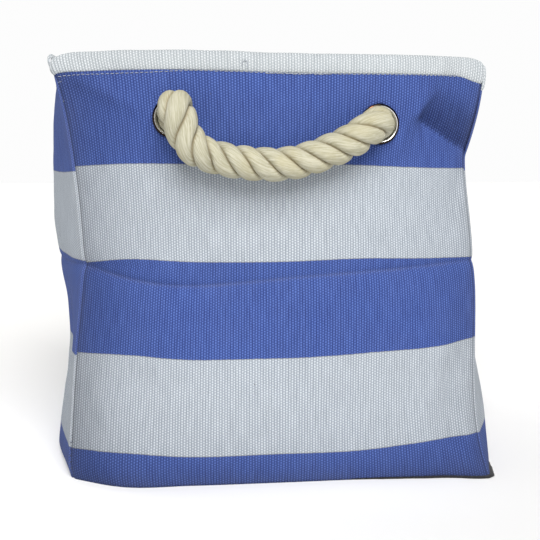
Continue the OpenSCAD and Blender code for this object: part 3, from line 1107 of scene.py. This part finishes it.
# Section of the turned hem: [out from the wall's face, up from the rim line], millimetres
HEM_SECTION = [
    (-0.1, -11.0), (0.35, -10.6), (0.85, -9.6), (1.0, -7.6), (1.0, -5.0), (0.8, -2.6), (0.45, -1.1),
    (-0.2, 0.1), (-1.0, 0.8), (-1.9, 0.9), (-2.7, 0.3), (-3.2, -0.9), (-3.5, -2.8), (-3.5, -6.0),
    (-3.4, -8.5), (-3.3, -10.0), (-2.9, -10.9), (-2.4, -11.0), (-1.6, -10.6),
]
HEM_LOW = 11.0
# How deep each hem is at its left and right ends, as a share of its depth elsewhere
HEM_ENDS = {"front": (0.94, 1.4), "right": (1.4, 1), "back": (1, 1), "left": (1, 0.62)}
RIB_COLUMNS = 6


def build_hem(side):
    width = wall_width(side)
    columns = int(round(width / WARP_PITCH)) * RIB_COLUMNS + 1
    s = np.linspace(-1, 1, columns)
    u = (s + 1) / 2 * width
    rib = np.abs(np.sin(math.pi * u / WARP_PITCH)) - 0.6
    rim_point = wall_points(side, s, np.full(columns, RIM_Z))
    tangent = np.gradient(rim_point, axis=0)
    tangent[:, 2] = 0
    tangent /= np.linalg.norm(tangent, axis=1, keepdims=True)
    outward = np.stack([tangent[:, 1], -tangent[:, 0], np.zeros(columns)], 1)
    wob = ripples(60 + SIDES.index(side), u, 0 * u, 0.03)
    left_end, right_end = HEM_ENDS[side]
    end = smooth(np.abs(s), 0.84, 1.0)
    deep = 1 + end * (np.where(s < 0, left_end, right_end) - 1)
    rows = []
    run = 0.0
    vs = []
    for i, (o, h) in enumerate(HEM_SECTION):
        if i:
            run += math.hypot(o - HEM_SECTION[i - 1][0], h - HEM_SECTION[i - 1][1]) * MM
        depth = max(-h, 0) * MM
        at = wall_points(side, s, RIM_Z - depth * deep)
        ridge = 0.34 * MM * rib * (1 if 0 < i < 16 else 0)
        puff = 0.12 * MM * wob * (1 if 0 < i < 16 else 0)
        p = at + outward * (o * MM + (ridge if o > -2 else -ridge) + puff)[:, None]
        if h > -1.3:
            p[:, 2] += max(h, 0) * MM + ridge + puff
        rows.append(p)
        vs.append(np.full(columns, run))
    count = len(rows)
    verts = np.concatenate(rows)
    grid = grid_faces(count, columns)
    close = np.stack([
        (count - 1) * columns + np.arange(columns - 1),
        (count - 1) * columns + np.arange(1, columns),
        np.arange(1, columns),
        np.arange(columns - 1),
    ], 1)
    faces = np.concatenate([grid, close]).tolist()
    faces.append([i * columns for i in range(count)])
    faces.append([i * columns + columns - 1 for i in range(count)][::-1])
    uv = np.stack([np.tile(u, count), np.concatenate(vs)], 1)
    grime_shade_and_reflection = np.full(len(verts), 0.35)
    obj = make_mesh(f"{side}_hem", verts, faces, [WHITE_CANVAS], uv, None, {"grime_shade_and_reflection": grime_shade_and_reflection})
    return finish_piece(obj, "bin", "white_canvas", f"{side}_rim_hem")


# ---- Stitches ------------------------------------------------------------------------------

STITCH_RINGS = 5
STITCH_SIDES = 6
HEM_STITCH = 3.0 * MM
HEM_THREAD_R = 0.20 * MM
# The back tack: its first share of the front's width, how much of the width it takes, its stitches
TACK_FROM = 0.47
TACK_RUN = 0.145
TACK_COUNT = 34


def stitch_tube(a, b, lift, radius):
    """One stitch: a short thread that rises out of the cloth at a and dives in at b."""
    along = b - a
    n = lift / np.linalg.norm(lift)
    side = np.cross(along / np.linalg.norm(along), n)
    verts = []
    for t in np.linspace(0, 1, STITCH_RINGS):
        arch = math.sin(math.pi * t)
        mid = a + along * t + n * (arch * radius * 1.3 - radius * 0.6)
        r = radius * (0.55 + 0.45 * arch)
        for k in range(STITCH_SIDES):
            w = 2 * math.pi * k / STITCH_SIDES
            verts.append(mid + r * (math.cos(w) * n + math.sin(w) * side))
    return verts


def build_stitches(name, rows, radius, material, body, slot, *nodes):
    """rows is a list of (start, end, outward direction), one for each stitch."""
    verts, faces, uv = [], [], []
    for a, b, n in rows:
        start = len(verts)
        verts += stitch_tube(np.asarray(a), np.asarray(b), np.asarray(n), radius)
        faces += grid_faces(STITCH_RINGS, STITCH_SIDES, start, wrap=True).tolist()
        faces.append([start + k for k in range(STITCH_SIDES)][::-1])
        faces.append([start + (STITCH_RINGS - 1) * STITCH_SIDES + k for k in range(STITCH_SIDES)])
        uv += [(0.0006 * i, 0.0003 * k) for i in range(STITCH_RINGS) for k in range(STITCH_SIDES)]
    obj = make_mesh(name, verts, faces, [material], uv)
    return finish_piece(obj, body, slot, *nodes)


def line_of_stitches(points, out, length, pitch, seed, wander=0.12 * MM):
    """Even stitches along points(t), t from 0 to 1, each a little uneven as by machine."""
    rng = np.random.default_rng(seed)
    count = max(2, int(length / pitch))
    t = np.arange(count)
    jog = np.zeros((2, count, 3))
    jog[:, :, 2] = rng.normal(0, wander, (2, count))
    starts = points((t + 0.12) / count) + jog[0]
    ends = points((t + 0.86) / count) + jog[1]
    return [(a, b, out) for a, b in zip(starts, ends)]


def back_tack(points, out):
    """The ragged patch where the hem's seam starts and ends, sewn over several times."""
    rng = np.random.default_rng(5)
    t = TACK_FROM + TACK_RUN * np.arange(TACK_COUNT) / TACK_COUNT
    jog = np.zeros((2, len(t), 3))
    jog[:, :, 2] = rng.normal(0, 0.35 * MM, (2, len(t)))
    lift = out * 0.1 * MM
    starts = points(t) + jog[0] + lift
    ends = points(t + 0.008) + jog[1] + lift
    return [(a, b, out) for a, b in zip(starts, ends)]


def loose_thread(out):
    """A thread end that has come up out of the back tack and lies in a small loop on the hem."""
    turn = np.linspace(-0.9, 3.4, 12)
    share = -0.150 + 0.012 * np.cos(turn)
    height = RIM_Z - (7.2 - 2.6 * np.sin(turn)) * MM
    line = wall_points("front", share, height) + out * 1.45 * MM
    return [(a, b + (b - a) * 0.35, out) for a, b in zip(line[:-1], line[1:])]


def corner_ties(out):
    """Two stray stitches across the front left seam, just under the hem."""
    height = np.array([247.5, 236.0]) * MM
    starts = wall_points("front", np.array([-0.998, -1.0]), height) + out * 0.3 * MM
    ends = wall_points("front", np.array([-0.972, -0.985]), height + 0.5 * MM) + out * 0.3 * MM
    return [(a, b, out) for a, b in zip(starts, ends)]


def build_hem_stitches(side):
    width = wall_width(side)
    out, _ = AXES[side]

    def points(t):
        s = (2 * np.asarray(t) - 1) * 0.985
        below = HEM_LOW + 0.2 + (1.6 * (1 - smooth(s, -0.65, -0.35)) if side == "front" else 0.0)
        return wall_points(side, s, RIM_Z - below * MM + 0 * s) + out * 0.25 * MM

    rows = line_of_stitches(points, out, width, HEM_STITCH, 30 + SIDES.index(side))
    if side == "front":
        rows += back_tack(points, out) + loose_thread(out) + corner_ties(out)
    build_stitches(
        f"{side}_hem_stitches", rows, HEM_THREAD_R, HEM_THREAD, "bin", "hem_thread",
        f"{side}_hem_stitching",
    )


# ---- Eyelets and washers -------------------------------------------------------------------


def revolve(name, section, centre, axis, materials, body, slot, nodes, sides=96, grime_shade_and_reflection=None):
    """Closed ring: section points are (radius, out along axis) in metres."""
    axis = Vector(axis).normalized()
    across = axis.cross(Vector((0, 0, 1))).normalized()
    up = across.cross(axis)
    verts, faces, marks = [], [], []
    n = len(section)
    for k in range(sides):
        w = 2 * math.pi * k / sides
        radial = across * math.cos(w) + up * math.sin(w)
        for i, (r, out) in enumerate(section):
            verts.append(Vector(centre) + radial * r + axis * out)
            marks.append(grime_shade_and_reflection[i] if grime_shade_and_reflection else 0)
    for k in range(sides):
        m = (k + 1) % sides
        for i in range(n):
            j = (i + 1) % n
            faces.append([k * n + i, k * n + j, m * n + j, m * n + i])
    obj = make_mesh(name, verts, faces, materials, None, None, {"grime_shade_and_reflection": marks})
    return finish_piece(obj, body, slot, *nodes)


# Rolled lip: the middle and size of its round section, its distance from the cloth, its points
LIP_MID = 11.05 * MM
LIP_R = 1.25 * MM
LIP_OUT = 0.6 * MM
LIP_POINTS = 19
# Edge turned over the washer: the same, but inward from the cloth
TURN_MID = 10.95 * MM
TURN_R = 0.65 * MM
TURN_IN = 2.9 * MM
TURN_POINTS = 7


def eyelet_section():
    """Rolled lip outside, barrel through the canvas, and the edge turned over the washer."""
    section, grime_shade_and_reflection = [], []
    for i in range(LIP_POINTS):
        w = math.radians(-20 + 220 * i / (LIP_POINTS - 1))
        section.append((LIP_MID + LIP_R * math.cos(w), LIP_OUT + LIP_R * math.sin(w)))
        # The outer half of the lip is marked for painted dark reflection; the inner half stays polished.
        grime_shade_and_reflection.append(0.95 - 0.95 * float(smooth(i, 8.5, 10.5)))
    section.append((10.3 * MM, -1.5 * MM))
    grime_shade_and_reflection.append(0.3)
    for i in range(TURN_POINTS):
        w = math.radians(180 + 150 * i / (TURN_POINTS - 1))
        section.append((TURN_MID + TURN_R * math.cos(w), -TURN_IN + TURN_R * math.sin(w)))
        grime_shade_and_reflection.append(0.2)
    section.append((11.0 * MM, -2.0 * MM))
    grime_shade_and_reflection.append(0.5)
    return section, grime_shade_and_reflection


def build_eyelets(front):
    word, place = handle_side(front)
    section, grime_shade_and_reflection = eyelet_section()
    plate = [
        (11.1 * MM, -1.9 * MM), (11.1 * MM, -2.4 * MM), (12.2 * MM, -2.55 * MM), (13.6 * MM, -2.35 * MM),
        (14.0 * MM, -2.0 * MM), (13.8 * MM, -1.75 * MM), (12.2 * MM, -1.85 * MM),
    ]
    for sign in (-1, 1):
        hand = hand_of(sign, front)
        centre = place(through_eyelet(sign, 0))
        axis = place(through_eyelet(sign, 1)) - centre
        revolve(f"{word}_{hand}_ring", section, centre, axis, [CHROME], "bin", "chrome",
                [f"{word}_{hand}_eyelet"], grime_shade_and_reflection=grime_shade_and_reflection)
        revolve(f"{word}_{hand}_plate", plate, centre, axis, [CHROME], "bin", "chrome",
                [f"{word}_{hand}_washer"], grime_shade_and_reflection=[0.1] * len(plate))


# ---- Corner seams --------------------------------------------------------------------------

CORNERS = {
    "front_left": ("left", "front"),
    "front_right": ("front", "right"),
    "back_right": ("right", "back"),
    "back_left": ("back", "left"),
}
TAPE_WIDTH = 9 * MM
TAPE_RISE = 0.85 * MM
SEAM_THREAD_R = 0.32 * MM


def beside_corner(corner, e, z):
    """Outer-face points at signed distance e from a corner seam: minus on the wall before it."""
    before, after = CORNERS[corner]
    e = np.asarray(e, float)
    z = np.asarray(z, float)
    s_before = 1 - 2 * np.abs(e) / wall_width(before)
    s_after = -1 + 2 * np.abs(e) / wall_width(after)
    on_before = wall_points(before, s_before, z)
    on_after = wall_points(after, s_after, z)
    return np.where((e < 0).ravel()[:, None], on_before, on_after)


def build_seam_tape(corner):
    """Bound seam allowance inside a corner: a soft ridge of black tape with rounded edges."""
    before, after = CORNERS[corner]
    e = np.concatenate([-np.linspace(1, 0.16, 9), [-0.06, 0.06], np.linspace(0.16, 1, 9)]) * TAPE_WIDTH
    z = np.linspace(3 * MM, RIM_Z - HEM_DEPTH - 2 * MM, 120)
    ee, zz = np.meshgrid(e, z)
    face = beside_corner(corner, ee, zz)
    inward = -(AXES[before][0] * (ee.ravel() < 0)[:, None] + AXES[after][0] * (ee.ravel() >= 0)[:, None])
    middle = -(AXES[before][0] + AXES[after][0])
    share = np.exp(-(ee.ravel() / (2.2 * MM)) ** 2)[:, None]
    inward = inward * (1 - share) + middle * share
    crown = np.sqrt(np.clip(1 - (np.abs(ee.ravel()) / TAPE_WIDTH) ** 6, 0, 1))
    pucker = 0.12 * MM * np.sin(2 * math.pi * zz.ravel() / (7 * MM)) * (np.abs(ee.ravel()) > 5 * MM)
    low = face + inward * (CANVAS_T - 0.1 * MM)
    high = face + inward * (CANVAS_T + 0.15 * MM + TAPE_RISE * crown + pucker)[:, None]
    rows, columns = len(z), len(e)
    count = rows * columns
    top = grid_faces(rows, columns)
    faces = top.tolist() + grid_faces(rows, columns, count, flip=True).tolist()
    faces += shell_edges(top, count)
    uv = np.tile(np.stack([ee.ravel(), zz.ravel()], 1), (2, 1))
    tape = make_mesh(f"{corner}_seam_binding", np.concatenate([low, high]), faces, [BLACK_CLOTH], uv)
    return finish_piece(tape, "bin", "black_nonwoven", f"{corner}_seam_tape")


def build_seam_stitches(corner):
    """Thread that draws the two walls together, sunk in the seam except at the front left foot."""
    before, after = CORNERS[corner]
    out = AXES[before][0] + AXES[after][0]
    out = out / np.linalg.norm(out)
    z = np.arange(6 * MM, RIM_Z - 16 * MM, 4 * MM)
    shown = np.clip(2 - np.abs(z - 15 * MM) / (7 * MM), 0, 1) * (corner == "front_left")
    reach = (0.5 + 1.2 * shown) * MM
    sunk = np.outer((1.0 - shown) * 1.1 * MM, out)
    starts = beside_corner(corner, -reach, z) - sunk
    ends = beside_corner(corner, reach, z + 1.5 * MM) - sunk
    rows = [(a, b, out) for a, b in zip(starts, ends)]
    build_stitches(
        f"{corner}_seam_stitches", rows, SEAM_THREAD_R, SEAM_THREAD, "bin", "seam_thread",
        f"{corner}_seam_thread",
    )


# ---- Base ----------------------------------------------------------------------------------

# Points round the foot along each wall
FOOT_POINTS = 120
BINDING_THREAD_R = 0.28 * MM


def foot_outline(z, outward):
    """Closed ring of points round the walls at height z, moved outward by a length for each."""
    s = np.linspace(-1, 1, FOOT_POINTS)[:-1]
    ring = np.concatenate([wall_points(side, s, np.full(len(s), z)) for side in SIDES])
    step = np.roll(ring, -1, axis=0) - np.roll(ring, 1, axis=0)
    normal = np.stack([step[:, 1], -step[:, 0], 0 * step[:, 0]], 1)
    normal /= np.linalg.norm(normal, axis=1, keepdims=True)
    return ring + normal * outward(ring)[:, None]


def lip_width(ring):
    """The base cloth's cut edge peeps out most along the right of the front."""
    frayed = 0.18 * MM * ripples(90, ring[:, 0], ring[:, 1], 0.012)
    more = smooth(ring[:, 0], 0.0, 0.12) * smooth(-ring[:, 1], 0.08, 0.13)
    return (2.9 * more - 0.4) * MM + frayed


def build_base_panel():
    edge = foot_outline(0.0, lip_width)
    edge[:, 2] = 0
    centre = np.array([edge[:, 0].mean(), edge[:, 1].mean(), 0])
    n = len(edge)
    verts, uv = [], []
    section = [
        (0.0, 0.0), (0.5, 0.0), (0.85, 0.0), (0.985, 0.0), (0.997, 0.15), (1.0, 0.6), (0.997, 1.1),
        (0.985, 1.3), (0.85, 1.3), (0.5, 1.3), (0.0, 1.3),
    ]
    for share, height in section:
        ring = centre + (edge - centre) * max(share, 0.002)
        wave = 0.05 * MM * ripples(91, ring[:, 0], ring[:, 1], 0.05) if height > 1 and share < 0.98 else 0
        ring[:, 2] = height * MM + wave
        verts.append(ring)
        uv.append(ring[:, :2])
    verts = np.concatenate(verts)
    faces = [list(f) for f in grid_faces(len(section), n, wrap=True, flip=True)]
    faces.append(list(range(n)))
    faces.append([(len(section) - 1) * n + i for i in range(n)][::-1])
    base = make_mesh("base_cloth", verts, faces, [BLACK_CLOTH], np.concatenate(uv))
    return finish_piece(base, "bin", "black_nonwoven", "base_panel")


def build_base_binding():
    """Tape over the raw edge where the walls meet the base, inside."""
    levels = np.array([1.0, 1.6, 3.5, 6.0, 8.5, 9.8, 10.2]) * MM
    rise = np.array([0.2, 0.7, 0.95, 0.95, 0.9, 0.55, 0.1]) * MM
    rings = [foot_outline(z, lambda r, h=h: np.full(len(r), -(CANVAS_T + h))) for z, h in zip(levels, rise)]
    back = [foot_outline(z, lambda r: np.full(len(r), -(CANVAS_T - 0.1 * MM))) for z in levels[::-1]]
    n = len(rings[0])
    verts = np.concatenate(rings + back)
    count = len(levels) * 2
    faces = grid_faces(count, n, wrap=True, flip=True).tolist()
    faces += [[(count - 1) * n + (i + 1) % n, (count - 1) * n + i, i, (i + 1) % n] for i in range(n)]
    along = np.tile(np.arange(n) * 2.3 * MM, count)
    uv = np.stack([along, verts[:, 2]], 1)
    tape = make_mesh("base_binding", verts, faces, [BLACK_CLOTH], uv)
    finish_piece(tape, "bin", "black_nonwoven", "base_seam_tape")


def build_binding_stitches():
    """One row of stitches round the foot, through the middle of the binding."""
    line = foot_outline(6 * MM, lambda r: np.full(len(r), -(CANVAS_T + 1.0 * MM)))
    n = len(line)
    rows = []
    for i in range(0, n - 1, 2):
        a, b = line[i], line[(i + 1) % n] * 0.6 + line[i] * 0.4
        step = b - a
        inward = np.array([-step[1], step[0], 0])
        rows.append((a, b + step * 0.5, inward / (np.linalg.norm(inward) + 1e-9)))
    build_stitches(
        "base_binding_stitches", rows, BINDING_THREAD_R, SEAM_THREAD, "bin", "seam_thread",
        "base_seam_thread",
    )


# Rings of the board's sleeve and points round each, its cloth, and the stitches along each edge
SLEEVE_RINGS = 90
SLEEVE_AROUND = 150
SLEEVE_T = 0.45 * MM
SLEEVE_STITCHES = 60
SLEEVE_THREAD_R = 0.26 * MM


def sleeve_layer(inset):
    """One face of the sleeve's cloth, as rings round the board from its front to its back."""
    low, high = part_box("base_board_sleeve")
    mid, half_t = (low.z + high.z) / 2, (high.z - low.z) / 2
    w = np.linspace(0, 2 * math.pi, SLEEVE_AROUND, endpoint=False)
    cx = np.sign(np.cos(w)) * np.abs(np.cos(w)) ** 0.16
    cz = np.sign(np.sin(w)) * np.abs(np.sin(w)) ** 0.9
    x = (high.x - inset) * cx
    rings = []
    for y in np.linspace(-high.y, high.y, SLEEVE_RINGS):
        near_end = math.exp(-(high.y - abs(y)) / (5 * MM))
        swell = 0.25 * MM * ripples(40, x, y + 0 * x, 0.05) * (cz > 0) * (1 - cx**8)
        z = mid + (half_t - inset) * np.clip(cz * 1.25, -1, 1) + swell * 0.8
        z = z + 0.15 * MM * near_end * (cz > 0)
        rings.append(np.stack([x, y + 0.3 * MM * np.sin(x * 90), z], 1))
    return np.concatenate(rings)


def build_sleeve():
    """Flat sleeve of black cloth round the stiffening board, open at its front and back."""
    verts = np.concatenate([sleeve_layer(0.0), sleeve_layer(SLEEVE_T)])
    rows, around = SLEEVE_RINGS, SLEEVE_AROUND
    count = rows * around
    faces = grid_faces(rows, around, wrap=True).tolist()
    faces += grid_faces(rows, around, count, flip=True, wrap=True).tolist()
    for r in (0, rows - 1):
        for i in range(around):
            j = (i + 1) % around
            quad = [r * around + i, r * around + j, count + r * around + j, count + r * around + i]
            faces.append(quad[::-1] if r == 0 else quad)
    sleeve = make_mesh("board_sleeve", verts, faces, [BLACK_CLOTH], verts[:, :2])
    finish_piece(sleeve, "board", "black_nonwoven", "base_board_sleeve")


def build_sleeve_stitches():
    _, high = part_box("base_board_sleeve")
    top = high.z + 0.05 * MM
    run = 2 * high.y - 6 * MM
    rows = []
    for side in (-1, 1):
        x = side * (high.x - 5 * MM)
        for i in range(SLEEVE_STITCHES):
            y = -high.y + 3 * MM + i * run / SLEEVE_STITCHES
            rows.append(((x, y, top), (x, y + 2.4 * MM, top), (0, 0, 1)))
    build_stitches("board_sleeve_stitches", rows, SLEEVE_THREAD_R, SEAM_THREAD, "board", "seam_thread")


# ---- Build ---------------------------------------------------------------------------------

make_camera()
make_floor()
make_light()
build_handle(True)
build_handle(False)
for wall in SIDES:
    build_wall(wall)
    build_hem(wall)
    build_hem_stitches(wall)
build_eyelets(True)
build_eyelets(False)
for corner in CORNERS:
    build_seam_tape(corner)
    build_seam_stitches(corner)
build_base_panel()
build_base_binding()
build_binding_stitches()
build_sleeve()
build_sleeve_stitches()
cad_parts["base_board"].data.materials.clear()
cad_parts["base_board"].data.materials.append(GREYBOARD)
